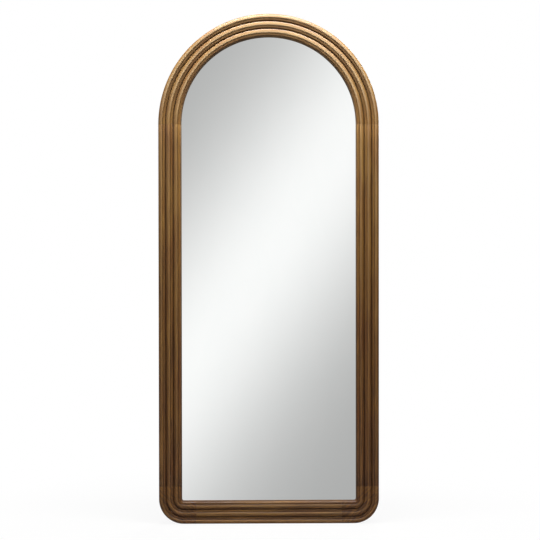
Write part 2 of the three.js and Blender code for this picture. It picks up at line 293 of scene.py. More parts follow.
# %% [markdown]
# ## The floor
#
# The photograph has no floor line: the mirror stands in white. The floor is a round
# sheet of pale card. To the camera it is almost as white as the world behind it, and
# the little that is left of its own shading keeps the soft shadow under the frame. The
# shading fades out with distance, so that the edge of the sheet never shows.

# %% Floor
floor_radius = 6.0
shadow_share = 0.1
shadow_fade_from = 0.35
shadow_fade_to = 1.3


def floor_card():
    material, tree, card = new_material("pale_card", Roughness=0.9, Specular_IOR_Level=0.1)
    place = own_place(tree)
    fibre = stretched_noise(tree, place, (260, 260, 260), detail=5.0)
    colour = mixed(tree, fibre, tint(206, 205, 203), tint(216, 215, 213))
    feed(tree, colour, card.inputs["Base Color"])
    raise_surface(tree, card, fibre, 0.0002, 0.4)
    far = add(tree, "ShaderNodeVectorMath", {0: place}, operation="LENGTH").outputs["Value"]
    shading = spread(tree, far, shadow_fade_from, shadow_fade_to, shadow_share, 0.0)
    white_share = calculate(tree, "SUBTRACT", 1.0, shading)
    camera_ray = add(tree, "ShaderNodeLightPath").outputs["Is Camera Ray"]
    to_camera = times(tree, white_share, camera_ray)
    white = add(tree, "ShaderNodeEmission", {"Color": (1, 1, 1, 1), "Strength": 1.0})
    both = add(tree, "ShaderNodeMixShader", {0: to_camera, 1: card.outputs[0], 2: white.outputs[0]})
    feed(tree, both.outputs[0], tree.nodes["Material Output"].inputs["Surface"])
    return material


floor_mesh = bpy.data.meshes.new("floor")
floor_shape = bmesh.new()
bmesh.ops.create_circle(floor_shape, cap_ends=True, segments=96, radius=floor_radius)
floor_shape.to_mesh(floor_mesh)
floor_shape.free()
floor = put("floor", floor_mesh)
floor.location.z = solid_low.z
floor.visible_glossy = False
floor_mesh.materials.append(floor_card())
print("floor is", 2 * floor_radius, "m across")

# %% [markdown]
# ## The path of the frame
#
# On the bench the frame is eight pieces of wood, glued end to end and cut with one
# profile all the way round. So one path does for all of them: it starts where the arch
# springs on the left, goes over the arch, down the right side, round the corner, along
# the bottom and up again. A place on it is a distance along the outer edge. An inset
# moves inwards from there, across the face of the frame, towards the glass.

# %% Sizes of the frame, read from its solids
MM = 0.001
half_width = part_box("right_stile")[1].x
frame_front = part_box("right_stile")[0].y
frame_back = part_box("right_stile")[1].y
spring_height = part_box("crown_segment")[1].z - half_width
corner_length = (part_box("right_corner_block")[1].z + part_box("right_stile")[0].z) / 2
frame_depth = frame_back - frame_front
print("half width", round(half_width, 4), "spring height", round(spring_height, 4))
print("corner block", round(corner_length, 4), "frame depth", round(frame_depth, 4))

# %% The section's driving sizes
bead_rise = 12 * MM
outer_bead_rise = 11.4 * MM
outer_roll_depth = 11 * MM
bead_fall = 4.5 * MM
quirk_depth = 2.8 * MM
quirk_width = 1.4 * MM
fillet_width = 4.6 * MM
fillet_depth = 1.6 * MM
fillet_slope = 4.3 * MM
groove_depth = 6.5 * MM
groove_width = 1 * MM
sight_wall_slope = 3.2 * MM
sight_depth = 20 * MM
sight_corner = 7 * MM
back_chamfer = 1.5 * MM
glass_overlap = 10 * MM
panel_overlap = 14 * MM

shelf_width = bead_fall + quirk_width + fillet_width
outer_reed = outer_bead_rise + shelf_width + fillet_slope + groove_width
middle_reed = bead_rise + shelf_width + fillet_slope + groove_width
face_width = outer_reed + middle_reed + bead_rise + shelf_width + fillet_slope + sight_wall_slope
corner_radius = face_width + sight_corner
glass_inset = face_width - glass_overlap
panel_inset = glass_inset - panel_overlap
glass_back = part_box("mirror_glass")[1].y
print("face of the frame is", round(face_width / MM, 1), "mm wide")

# %% The path, as a function of the distance along it
arch_length = math.pi * half_width
side_length = spring_height - corner_radius
turn_length = math.pi / 2 * corner_radius
base_length = 2 * (half_width - corner_radius)
path_parts = (arch_length, side_length, turn_length, base_length, turn_length, side_length)
path_ends = np.cumsum(path_parts)
path_length = path_ends[-1]
bend_step = 3.5 * MM
straight_step = 70 * MM


def place_on(distance, inset):
    """The point (x, z) at a distance along the path, moved inwards by an inset."""
    distance %= path_length
    part = int(np.searchsorted(path_ends, distance, side="right"))
    gone = distance - (path_ends[part - 1] if part else 0.0)
    side = half_width - inset
    turn_x = half_width - corner_radius
    reach = corner_radius - inset
    if part == 0:
        angle = math.pi - gone / half_width
        return side * math.cos(angle), spring_height + side * math.sin(angle)
    if part == 1:
        return side, spring_height - gone
    if part == 2:
        angle = -gone / corner_radius
        return turn_x + reach * math.cos(angle), corner_radius + reach * math.sin(angle)
    if part == 3:
        return turn_x - gone, inset
    if part == 4:
        angle = -math.pi / 2 - gone / corner_radius
        return -turn_x + reach * math.cos(angle), corner_radius + reach * math.sin(angle)
    return -side, corner_radius + gone


def point_on(distance, inset, y):
    """The same in space, at a depth y."""
    x, z = place_on(distance, inset)
    return x, y, z


def stops_between(start, end):
    """Distances from start to end: close together in the bends, and one where each part ends."""
    stops = [start]
    part_start = 0.0
    for part_end, step in zip(path_ends, (bend_step, straight_step) * 3):
        low = max(start, part_start)
        high = min(end, part_end)
        if high > low:
            count = math.ceil((high - low) / step)
            stops.extend(np.linspace(low, high, count + 1)[1:])
        part_start = part_end
    return stops


print("the path is", round(path_length, 3), "m long")

# %% [markdown]
# ## The section of the frame
#
# Each reed is a round bead, a narrow sunk line called a quirk, a flat strip called a
# fillet, and a rounded fall to the next groove. The quarter turns are ellipses. A cutter
# never leaves a knife edge, so each sharp corner of the outline is eased by a third of a
# millimetre, and the long flats get points in between, which later carry the stain and
# the painted shade.

# %% Section
bead_points = 18
fall_points = 8
easing = 0.35 * MM
gentle_turn = math.radians(155)
flat_step = 1.2 * MM


def quarter_turn(x, y, reach_x, reach_y, start, steps):
    angles = [start + (i / steps) * (math.pi / 2) for i in range(1, steps + 1)]
    return [(x + reach_x * math.cos(a), y + reach_y * math.sin(a)) for a in angles]


def reed(start, rise, foot_depth):
    crest = start + rise
    quirk = crest + bead_fall + quirk_width
    edge = quirk + fillet_width
    slope = groove_depth - fillet_depth
    return [
        *quarter_turn(crest, foot_depth, rise, foot_depth, math.pi, bead_points),
        *quarter_turn(crest, quirk_depth, bead_fall, quirk_depth, 1.5 * math.pi, fall_points),
        (quirk, quirk_depth),
        (quirk, fillet_depth),
        (edge, fillet_depth),
        *quarter_turn(edge, groove_depth, fillet_slope, slope, 1.5 * math.pi, fall_points),
    ]


def frame_section():
    """The outline of the section: x from the outer edge to the glass, y from the crests back."""
    shoulder = glass_back - frame_front
    middle = outer_reed + middle_reed
    return [
        (0, outer_roll_depth),
        *reed(0, outer_bead_rise, outer_roll_depth),
        (outer_reed, groove_depth),
        *reed(outer_reed, bead_rise, groove_depth),
        (middle, groove_depth),
        *reed(middle, bead_rise, groove_depth),
        (face_width, sight_depth),
        (glass_inset, sight_depth),
        (glass_inset, shoulder),
        (panel_inset, shoulder),
        (panel_inset, frame_depth - back_chamfer),
        (panel_inset - back_chamfer, frame_depth),
        (back_chamfer, frame_depth),
        (0, frame_depth - back_chamfer),
    ]


def eased(outline, radius, steps=4):
    """Rounds each corner that turns by more than a fine curve does."""
    points = [Vector(p) for p in outline]
    rounded = []
    for i, corner in enumerate(points):
        before = points[i - 1] - corner
        after = points[(i + 1) % len(points)] - corner
        if before.angle(after) > gentle_turn:
            rounded.append(corner)
            continue
        reach = min(radius, 0.45 * before.length, 0.45 * after.length)
        first = corner + before.normalized() * reach
        last = corner + after.normalized() * reach
        for k in range(steps + 1):
            share = k / steps
            rounded.append(first.lerp(corner, share).lerp(corner.lerp(last, share), share))
    return rounded


def divided(points, step):
    """Puts extra points on the long straight stretches."""
    fine = []
    for start, end in zip(points, points[1:] + points[:1]):
        count = max(1, math.ceil((end - start).length / step))
        fine.extend(start.lerp(end, i / count) for i in range(count))
    return fine


def shrunk(points, amount):
    """The outline moved into the material by an amount, for eased ends."""
    area = sum(a.x * b.y - b.x * a.y for a, b in zip(points, points[1:] + points[:1])) / 2
    side = 1 if area > 0 else -1
    moved = []
    for i, point in enumerate(points):
        along = (points[(i + 1) % len(points)] - points[i - 1]).normalized()
        moved.append(point + Vector((-along.y, along.x)) * amount * side)
    return moved


section = divided(eased(frame_section(), easing), flat_step)
print("section has", len(section), "points")

# %% [markdown]
# ## Closed meshes from rings of points
#
# Nearly every piece here is a row of rings, each joined to the next by four-sided faces,
# with a face on both ends: a moulding is its section carried along the path, a screw is
# circles along its axis, a pane is its outline at four depths. One helper makes them
# all. Holes and sockets are cut afterwards with a boolean, as a drill would.

# %% Helpers for meshes
def loft(rings):
    """Points and faces of a closed body through rings that have as many points each."""
    count = len(rings[0])
    points = [tuple(p) for ring in rings for p in ring]
    faces = []
    for start in range(0, (len(rings) - 1) * count, count):
        for i in range(count):
            j = (i + 1) % count
            faces.append((start + i, start + j, start + count + j, start + count + i))
    faces.append(tuple(range(count)))
    faces.append(tuple(range(len(points) - count, len(points))))
    return points, faces


def new_piece(name, *bodies):
    """One object out of one or several closed bodies, with their faces pointing out."""
    mesh = bpy.data.meshes.new(name)
    shape = bmesh.new()
    for points, faces in bodies:
        corners = [shape.verts.new(p) for p in points]
        for face in faces:
            shape.faces.new([corners[i] for i in face])
    bmesh.ops.recalc_face_normals(shape, faces=shape.faces)
    shape.to_mesh(mesh)
    shape.free()
    return put(name, mesh)


def carve(piece, tool, operation="DIFFERENCE"):
    """Cuts a piece with a tool, and puts the tool away."""
    cut = piece.modifiers.new("cut", "BOOLEAN")
    cut.object = tool
    cut.operation = operation
    cut.solver = "EXACT"
    shapes = bpy.context.evaluated_depsgraph_get()
    piece.data = bpy.data.meshes.new_from_object(piece.evaluated_get(shapes))
    piece.modifiers.clear()
    bpy.data.objects.remove(tool)


def smooth(piece, angle=40):
    piece.data.shade_smooth()
    piece.data.set_sharp_from_angle(angle=math.radians(angle))


def circle(radius, sides, x=0.0, z=0.0, y=0.0):
    """A ring of points about an axis along Y."""
    turns = [2 * math.pi * i / sides for i in range(sides)]
    return [(x + radius * math.cos(t), y, z + radius * math.sin(t)) for t in turns]


def middle_of(node):
    low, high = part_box(node)
    return (low + high) / 2


def dress(piece, material, slot, body, *nodes):
    """Gives a piece its finish, its body and the solids that it stands for."""
    piece.data.materials.clear()
    piece.data.materials.append(material)
    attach(piece, body)
    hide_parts(*nodes)


print("helpers for meshes are ready")

# %% [markdown]
# ## The finish of the wood
#
# The wood is a mid-brown hardwood with an open, straight grain. Its pattern lies along
# each board and not along the frame, so every piece carries its own place in its board:
# across, deep and along. Noise that is stretched along the board gives the growth lines,
# the finer streaks, the fibres and the pores. A second set of marks says where the
# section is sunk (below zero) or proud (above it), how lively the grain is, and how deep
# the stain and the painted shade are. The sunk lines are painted dark, partly as glaze
# and partly as painted shade, and the hollows between the reeds, most of all on the arch,
# get painted shade where the beads shade them. The crests are painted pale, partly as
# rubbed wear and partly as painted highlight, most of all on the arch, and are left a
# little smoother. Each board takes the stain in its own way, and is painted darker
# towards the foot, partly as painted shade of the light's fall-off and partly as board
# tone. More stain darkens the wood and deepens its colour at once, as a power of the
# colour does.

# %% Wood finish
mean_depth = 0.77


def wood_finish(name, dark, light, warm, pore, glaze_and_shade, crest, lacquer, dull=0.5):
    satin = {"Specular_IOR_Level": 0.25, "Coat_Weight": lacquer, "Coat_Roughness": 0.42}
    material, tree, wood = new_material(name, **satin)
    grain = add(tree, "ShaderNodeAttribute", attribute_name="grain").outputs["Vector"]
    marks = add(tree, "ShaderNodeAttribute", attribute_name="marks").outputs["Vector"]
    mark = add(tree, "ShaderNodeSeparateXYZ", {0: marks}).outputs
    relief, figure, stain_and_shade = mark["X"], mark["Y"], mark["Z"]
    sunk = calculate(tree, "MAXIMUM", times(tree, relief, -1.0), 0.0)
    proud = calculate(tree, "MAXIMUM", relief, 0.0)

    growth = stretched_noise(tree, grain, (95, 60, 2.4), detail=3.0, distortion=0.35)
    lines = calculate(tree, "PINGPONG", times(tree, growth, 9.0), 1.0)
    streaks = stretched_noise(tree, grain, (420, 420, 7), detail=4.0)
    fibres = stretched_noise(tree, grain, (2300, 2300, 55), detail=2.0)
    patches = stretched_noise(tree, grain, (26, 26, 4.5), detail=3.0)
    pores = spread(tree, stretched_noise(tree, grain, (1500, 1500, 42), detail=2.0), 0.62, 0.70)

    depth = times(tree, lines, 0.30, times(tree, streaks, 0.9))
    depth = times(tree, fibres, 0.35, depth)
    off_mean = calculate(tree, "SUBTRACT", depth, mean_depth)
    depth = times(tree, off_mean, figure, mean_depth)
    colour = mixed(tree, spread(tree, depth, 0.50, 1.02), light, dark)
    colour = mixed(tree, spread(tree, patches, 0.46, 0.66, 0.0, 0.7), colour, warm, "MULTIPLY")
    colour = mixed(tree, times(tree, pores, 0.55), colour, pore)
    # Crests painted pale: partly rubbed wear, partly painted highlight.
    colour = mixed(tree, times(tree, proud, 0.5), colour, crest)
    # The stain mark also darkens towards the foot, partly as painted shade.
    colour = add(tree, "ShaderNodeGamma", {"Color": colour, "Gamma": stain_and_shade}).outputs[0]
    # Sunk lines and hollows painted dark: partly glaze, partly painted shade.
    colour = mixed(tree, times(tree, sunk, 0.7), colour, glaze_and_shade)

    rough = times(tree, fibres, 0.16, dull - 0.10)
    rough = times(tree, calculate(tree, "MAXIMUM", pores, sunk), 0.22, rough)
    rough = times(tree, proud, -0.06, rough)
    paint_with(tree, wood, colour, rough)
    height = times(tree, pores, -0.8, times(tree, fibres, 0.35))
    height = times(tree, streaks, 0.15, height)
    raise_surface(tree, wood, height, 0.0002, 0.25)
    return material


frame_wood = wood_finish(
    "stained_hardwood",
    dark=tint(98, 63, 20),
    light=tint(168, 126, 60),
    warm=tint(230, 206, 170),
    pore=tint(58, 35, 10),
    # The sunk colour is partly glaze and partly painted shade; the crest colour is partly wear and
    # partly painted highlight.
    glaze_and_shade=tint(60, 35, 8),
    crest=tint(214, 186, 146),
    lacquer=0.5,
)
tenon_wood = wood_finish(
    "bare_beech",
    dark=tint(186, 150, 104),
    light=tint(216, 186, 142),
    warm=tint(240, 214, 190),
    pore=tint(150, 112, 70),
    glaze_and_shade=tint(170, 132, 86),
    crest=tint(216, 186, 142),
    lacquer=0.0,
    dull=0.7,
)
print("wood finishes:", frame_wood.name, tenon_wood.name)

# %% Where glaze and painted shade darken the wood, and where wear and painted highlight pale the crests
# For each board: how lively its grain is, its stain, the painted shade in the hollows
# between the reeds, and the darkening towards the foot, partly painted shade and partly
# board tone.
boards = {
    "left_haunch": (0.4, 1.02, 0.85, 0.0),
    "crown_segment": (0.3, 1.02, 0.8, 0.0),
    "right_haunch": (0.4, 0.98, 0.85, 0.0),
    "right_stile": (0.75, 1.03, 0.0, 0.64),
    "right_corner_block": (1.0, 1.12, 0.25, 0.36),
    "bottom_rail": (1.0, 0.94, 0.25, 0.3),
    "left_corner_block": (1.0, 1.16, 0.25, 0.3),
    "left_stile": (0.75, 1.07, 0.0, 0.4),
}
# How far up the wood is painted darker towards the foot: painted shade, with some board tone.
foot_darkening_height = 1.25
arch_fade = 0.14
low_crest_share = 0.35
board_shift = np.array((0.37, 0.21, 1.3))
front_margin = 0.5 * MM
reed_starts = (0, outer_reed, outer_reed + middle_reed)
rises = (outer_bead_rise, bead_rise, bead_rise)
crest_lines = [start + rise for start, rise in zip(reed_starts, rises)]
quirk_lines = [crest + bead_fall + quirk_width / 2 for crest in crest_lines]
groove_lines = [start - groove_width / 2 for start in reed_starts[1:]] + [face_width]
# Widths of the dark quirk and groove marks (partly glaze, partly painted shade), of the edge of the
# painted shade in the hollows, and of the pale crests (partly wear, partly painted highlight).
quirk_glaze_and_shade_width = 1.1 * MM
groove_glaze_and_shade_width = 3 * MM
hollow_edge = 1 * MM
crest_wear_and_highlight_width = 4 * MM


def insets_of(places):
    """How far points of the frame lie inside its outer edge."""
    side = half_width - np.abs(places[:, 0])
    height = places[:, 2]
    arch = half_width - np.hypot(places[:, 0], height - spring_height)
    turn = corner_radius - np.hypot(corner_radius - side, corner_radius - height)
    in_turn = (side < corner_radius) & (height < corner_radius)
    straight = np.where(in_turn, turn, np.minimum(side, height))
    return np.where(height > spring_height, arch, straight)


def nearness(insets, lines, width):
    return np.max([np.exp(-(((insets - line) / width) ** 2)) for line in lines], axis=0)


def places_of(piece):
    places = np.zeros(len(piece.data.vertices) * 3)
    piece.data.vertices.foreach_get("co", places)
    return places.reshape(-1, 3)


def write_marks(piece, name, values):
    marks = piece.data.attributes.new(name, "FLOAT_VECTOR", "POINT")
    marks.data.foreach_set("vector", values.astype(np.float32).ravel())


def lay_grain(piece, along, board):
    """Writes on each point its place in the board: across, deep, along. Each board is its own."""
    places = places_of(piece)
    along = np.array((along[0], 0.0, along[1]))
    across = np.array((along[2], 0.0, -along[0]))
    place = np.stack((places @ across, places[:, 1], places @ along), axis=1)
    write_marks(piece, "grain", place + board_shift * (board + 1))


def mark_section(piece, figure, board_stain, hollow_shade, foot_shade_and_tone):
    """Writes the relief of the section, how lively the grain is, and how deep the stain and the
    painted shade are.
    """
    places = places_of(piece)
    height = places[:, 2]
    insets = insets_of(places)
    front = places[:, 1] - frame_front < sight_depth + front_margin
    # Quirks and grooves are painted dark, partly as glaze and partly as painted shade.
    sunk = nearness(insets, quirk_lines, quirk_glaze_and_shade_width)
    sunk = np.maximum(sunk, nearness(insets, groove_lines, groove_glaze_and_shade_width))
    above = np.clip((height - spring_height) / arch_fade, 0, 1)
    # The hollows between the reeds get painted shade, full on the arch and weaker on the foot
    # pieces.
    hollow_shade_share = np.where(height > spring_height, above, 1.0) * hollow_shade
    for quirk, groove in zip(quirk_lines, groove_lines):
        hollow = np.clip(np.minimum(insets - quirk, groove - insets) / hollow_edge, 0, 1)
        sunk = np.maximum(sunk, hollow * hollow_shade_share)
    # Crests painted pale, partly as rubbed wear and partly as painted highlight, most on the arch.
    proud = nearness(insets, crest_lines, crest_wear_and_highlight_width)
    proud = proud * (low_crest_share + (1 - low_crest_share) * above)
    # Darker towards the foot: partly painted shade of the light's fall-off, partly board tone.
    lowness = np.clip(1 - height / foot_darkening_height, 0, 1)
    stain_and_shade = board_stain + foot_shade_and_tone * lowness
    relief = (proud - sunk) * front
    write_marks(piece, "marks", np.stack((relief, np.full(len(places), figure), stain_and_shade), axis=1))


def mark_plain(piece):
    """The marks of a flat, evenly stained board."""
    write_marks(piece, "marks", np.tile((0.0, 1.0, 1.0), (len(piece.data.vertices), 1)))


print("sunk lines at insets of", [round(v / MM, 1) for v in quirk_lines + groove_lines], "mm")

# %% [markdown]
# ## The loose tenons
#
# Each joint between two pieces of the frame holds a loose tenon: a flat bar with round
# edges and shallow flutes, which let the glue spread. It is never seen once the frame is
# glued. The same outline, a little larger and without flutes, is the tool that cuts the
# sockets for it.

# %% Tenon shape, and where the joints are
tenon_width = 34 * MM
tenon_thickness = 10 * MM
tenon_length = 60 * MM
tenon_easing = 1 * MM
mortise_clearance = 0.3 * MM
flute_depth = 0.35 * MM
flute_count = 7
edge_steps = 12
back_middle = panel_inset / 2
tenon_y = middle_of("tenon_foot_left").y


def bar_outline(width, thickness, flute=0.0):
    """A flat bar's section: half-round edges, and flat sides with flutes."""
    radius = thickness / 2
    reach = width / 2 - radius
    turns = [math.pi * k / edge_steps for k in range(edge_steps + 1)]
    half = [Vector((reach + radius * math.sin(t), -radius * math.cos(t))) for t in turns]
    steps = 6 * flute_count
    for k in range(1, steps):
        sink = flute * (1 - math.cos(2 * math.pi * flute_count * k / steps)) / 2
        half.append(Vector((reach - 2 * reach * k / steps, radius - sink)))
    return half + [-point for point in half]


def bar_body(width, thickness, length, ease=0.0, flute=0.0, place=Matrix.Identity(4)):
    """A flat bar along Z, with its ends eased, set in its place."""
    outline = bar_outline(width, thickness, flute)
    half = length / 2
    stations = [(-half, outline), (half, outline)]
    if ease:
        small = shrunk(outline, ease)
        stations = [(-half, small), (ease - half, outline), (half - ease, outline), (half, small)]
    rings = [[place @ Vector((p.x, p.y, height)) for p in shape] for height, shape in stations]
    return loft(rings)


stile_length = spring_height - corner_length
block_length = 2 * (corner_length - corner_radius) + turn_length
rail_length = 2 * (half_width - corner_length)
foot_lengths = [block_length, rail_length, block_length]
lengths = [arch_length / 3] * 3 + [stile_length, *foot_lengths, stile_length]
stretches = dict(zip(boards, lengths))
joints = ("spring_left", "crown_left", "crown_right", "spring_right")
joints += ("foot_right", "rail_right", "rail_left", "foot_left")
joint_tenons = ["tenon_" + joint for joint in joints]
joint_places = dict(zip(joint_tenons, [0.0, *np.cumsum(lengths)]))


def along_path(distance):
    """The direction of the path at a distance, in X and Z."""
    step = 0.1 * MM
    before = Vector(place_on(distance - step, back_middle))
    after = Vector(place_on(distance + step, back_middle))
    return (after - before).normalized()


def tenon_place(name):
    x, z = place_on(joint_places[name], back_middle)
    direction = along_path(joint_places[name])
    turn = math.atan2(direction.x, direction.y)
    return Matrix.Translation((x, tenon_y, z)) @ Matrix.Rotation(turn, 4, "Y")


print("joints at", [round(d, 3) for d in joint_places.values()], "m along the path")

# %% [markdown]
# ## The eight pieces of the frame
#
# Three pieces make the arch, because a board that wide and that bent would have weak
# short grain at its ends. Two uprights, two corner blocks and the bottom rail make the
# rest. Each is the section carried along its own stretch of the path, with the ends
# eased a quarter of a millimetre, so that a fine line shows at each joint as it does on
# the real frame. Then its two sockets and its screw holes are cut, and it gets the grain
# of a straight board that runs the way the middle of the piece runs.

# %% Screw sizes, and the tools for their holes
screw_length = 16 * MM
screw_diameter = 3.5 * MM
screw_clearance = 0.3 * MM
hole_radius = screw_diameter / 2 + screw_clearance
hole_sides = 24


def nodes_with(word):
    return sorted(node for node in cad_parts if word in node)


def drill(node):
    """A round body in the place of a screw, from under its tip to past its head."""
    low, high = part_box(node)
    middle = middle_of(node)
    ends = (low.y - screw_clearance, high.y + screw_clearance)
    return loft([circle(hole_radius, hole_sides, middle.x, middle.z, y) for y in ends])


def inside(node, outer):
    """Whether a node's middle lies in another node's box, seen from the front."""
    middle = middle_of(node)
    low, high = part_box(outer)
    return low.x < middle.x < high.x and low.z < middle.z < high.z


panel_screws = nodes_with("panel_screw")
hanger_screws = nodes_with("hanger_screw")
print("screws:", len(panel_screws), "for the panel,", len(hanger_screws), "for the hangers")

# %% Frame pieces
joint_gap = 0.03 * MM
end_easing = 0.25 * MM
end_steps = 3
end_curve = []
for k in range(end_steps + 1):
    turn = k / end_steps * math.pi / 2
    amount = end_easing * (1 - math.cos(turn))
    end_curve.append((joint_gap + end_easing * (1 - math.sin(turn)), shrunk(section, amount)))


def frame_body(start, end):
    """The section carried along a stretch of the path, with eased ends."""
    first = [(start + back, outline) for back, outline in reversed(end_curve)]
    last = [(end - back, outline) for back, outline in end_curve]
    between = [(stop, section) for stop in stops_between(first[-1][0], last[0][0])[1:-1]]
    return loft([
        [point_on(distance, p.x, frame_front + p.y) for p in outline]
        for distance, outline in first + between + last
    ])


def frame_tools(node, ends):
    """The sockets and screw holes of one piece, as one tool."""
    room = 2 * mortise_clearance
    sizes = (tenon_width + room, tenon_thickness + room, tenon_length + room)
    bodies = [bar_body(*sizes, place=tenon_place(name)) for name in ends]
    bodies += [drill(screw) for screw in panel_screws + hanger_screws if inside(screw, node)]
    return new_piece("tool", *bodies)


for i, (node, length) in enumerate(stretches.items()):
    ends = (joint_tenons[i], joint_tenons[(i + 1) % len(joint_tenons)])
    start = joint_places[ends[0]]
    piece = new_piece(node + ".moulded", frame_body(start, start + length))
    carve(piece, frame_tools(node, ends))
    smooth(piece)
    lay_grain(piece, along_path(start + length / 2), i)
    mark_section(piece, *boards[node])
    dress(piece, frame_wood, "frame_wood", "mirror", node)
    print(piece.name, "has", len(piece.data.polygons), "faces")

# %% Tenons
tenon_sizes = (tenon_width, tenon_thickness, tenon_length, tenon_easing, flute_depth)
tenon_shape = new_piece("tenon", bar_body(*tenon_sizes))
smooth(tenon_shape, 50)
lay_grain(tenon_shape, (0, 1), len(stretches))
mark_plain(tenon_shape)
for name in joint_tenons:
    tenon = put(name + ".fluted", tenon_shape.data)
    tenon.matrix_world = tenon_place(name)
    dress(tenon, tenon_wood, "tenon_wood", "mirror", name)
bpy.data.objects.remove(tenon_shape)
print("tenons:", len(joint_tenons))

# %% [markdown]
# ## The glass
#
# The pane is 5 mm float glass, silvered on its back. What the eye takes for the glass is
# the silver, so the front is a nearly perfect metal with a faint green-grey cast, and
# just enough haze to soften the sharpest reflections, as a wiped pane has. Its edge is
# ground, and its back is covered with grey protective paint.

# %% Glass finish
def silvered_glass():
    material, tree, silver = new_material("silvered_glass", Metallic=1.0)
    place = own_place(tree)
    wiped = stretched_noise(tree, place, (9, 9, 5), detail=4.0, distortion=0.6)
    colour = mixed(tree, wiped, tint(252, 253, 252), tint(248, 250, 249))
    paint_with(tree, silver, colour, spread(tree, wiped, 0.3, 0.8, 0.004, 0.03))
    return material


def backing_paint():
    material, tree, paint = new_material("grey_backing_paint", Specular_IOR_Level=0.4)
    place = own_place(tree)
    flow = stretched_noise(tree, place, (60, 60, 14), detail=5.0)
    skin = stretched_noise(tree, place, (900, 900, 900), detail=2.0)
    colour = mixed(tree, flow, tint(112, 120, 122), tint(128, 135, 136))
    paint_with(tree, paint, colour, spread(tree, flow, 0.2, 0.8, 0.45, 0.6))
    raise_surface(tree, paint, skin, 0.0001, 0.4)
    return material


glass_silver = silvered_glass()
glass_paint = backing_paint()
print("glass finishes:", glass_silver.name, glass_paint.name)

# %% Glass pane
edge_clearance = 1 * MM
glass_arris = 0.8 * MM


def sheet_body(inset, front, back, arris):
    """A flat sheet with the frame's outline, an inset smaller all round, and eased edges."""
    stops = stops_between(0.0, path_length)[:-1]
    depths = ((front, arris), (front + arris, 0.0), (back - arris, 0.0), (back, arris))
    return loft([[point_on(stop, inset + extra, y) for stop in stops] for y, extra in depths])


glass_low, glass_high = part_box("mirror_glass")
pane_sheet = sheet_body(glass_inset + edge_clearance, glass_low.y, glass_high.y, glass_arris)
pane = new_piece("mirror_glass.pane", pane_sheet)
smooth(pane, 20)
dress(pane, glass_silver, "silvered_glass", "mirror", "mirror_glass")
pane.data.materials.append(glass_paint)
for face in pane.data.polygons:
    face.material_index = int(face.normal.y > 0.9)
print("pane:", [round(v, 3) for v in pane.dimensions], "m")

# %% [markdown]
# ## The back panel
#
# A 6 mm board closes the back: a thin plywood, stained brown and left dull, with its
# grain upright. It reuses the recipe of the wood with a flatter, drier look. Twelve
# screws hold it against the shoulder in the frame.

# %% Back panel
panel_wood = wood_finish(
    "stained_plywood",
    dark=tint(70, 51, 33),
    light=tint(112, 86, 60),
    warm=tint(226, 196, 176),
    pore=tint(48, 33, 20),
    glaze_and_shade=tint(52, 36, 22),
    crest=tint(112, 86, 60),
    lacquer=0.0,
    dull=0.72,
)
panel_arris = 0.5 * MM
panel_low, panel_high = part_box("back_panel")
panel_sheet = sheet_body(panel_inset + edge_clearance, panel_low.y, panel_high.y, panel_arris)
panel = new_piece("back_panel.board", panel_sheet)
carve(panel, new_piece("tool", *[drill(screw) for screw in panel_screws]))
smooth(panel, 20)
lay_grain(panel, (0, 1), len(stretches) + 1)
mark_plain(panel)
dress(panel, panel_wood, "panel_board", "mirror", "back_panel")
print("panel:", [round(v, 3) for v in panel.dimensions], "m")

# %% [markdown]
# ## Steel and rubber
#
# The screws and hangers are zinc-plated steel: a grey metal with a cloudy, slightly
# crystalline colour and fine rub marks. The bumpers are moulded rubber, nearly black,
# dull and faintly grained.

# %% Steel and rubber finishes
def plated_steel():
    material, tree, steel = new_material("zinc_plated_steel", Metallic=1.0)
    place = own_place(tree)
    crystal = add(tree, "ShaderNodeTexVoronoi", {"Vector": place, "Scale": 420.0})
    grey = add(tree, "ShaderNodeRGBToBW", {0: crystal.outputs["Color"]}).outputs[0]
    cloud = stretched_noise(tree, place, (170, 170, 170), detail=4.0)
    rub = stretched_noise(tree, place, (350, 350, 5200), detail=2.0)
    colour = mixed(tree, spread(tree, grey, 0.2, 0.8), tint(168, 171, 175), tint(192, 194, 196))
    colour = mixed(tree, spread(tree, cloud, 0.5, 0.75, 0.0, 0.5), colour, tint(176, 172, 158))
    rough = times(tree, cloud, 0.12, times(tree, rub, 0.16, 0.24))
    paint_with(tree, steel, colour, rough)
    raise_surface(tree, steel, rub, 0.00003, 0.5)
    return material


def moulded_rubber():
    material, tree, rubber = new_material("moulded_rubber", Specular_IOR_Level=0.35)
    place = own_place(tree)
    skin = stretched_noise(tree, place, (1600, 1600, 1600), detail=3.0)
    dust = stretched_noise(tree, place, (240, 240, 240), detail=4.0)
    colour = mixed(tree, spread(tree, dust, 0.45, 0.75), tint(34, 34, 35), tint(58, 57, 55))
    paint_with(tree, rubber, colour, spread(tree, dust, 0.3, 0.7, 0.62, 0.82))
    raise_surface(tree, rubber, skin, 0.00008, 0.6)
    return material


steel = plated_steel()
rubber = moulded_rubber()
print("finishes:", steel.name, rubber.name)

# %% [markdown]
# ## Screws
#
# A round-headed wood screw: a point, a thread that winds up the shank, a low domed head
# and a cross recess. The thread is a height on a cylinder's points: it rises where the
# height along the screw, in turns of the thread, meets the angle round it. The recess is
# cut with a tapered cross.

# %% Screw
thread_pitch = 1.4 * MM
thread_row = 0.175 * MM
thread_sides = 24
thread_sharpness = 0.28
core_radius = 1.25 * MM
point_length = 5 * MM
point_start = 0.3 * MM
neck_length = 3 * MM
head_radius = 3.5 * MM
head_height = 2.2 * MM
head_rim = 0.8 * MM
head_edge = 0.2 * MM
dome_steps = 8
dome_share = 0.95
turn_between = 37
recess_reach = 1.9 * MM
recess_width = 0.95 * MM
recess_depth = 1.5 * MM
recess_taper = 0.5
recess_mouth = 0.1 * MM


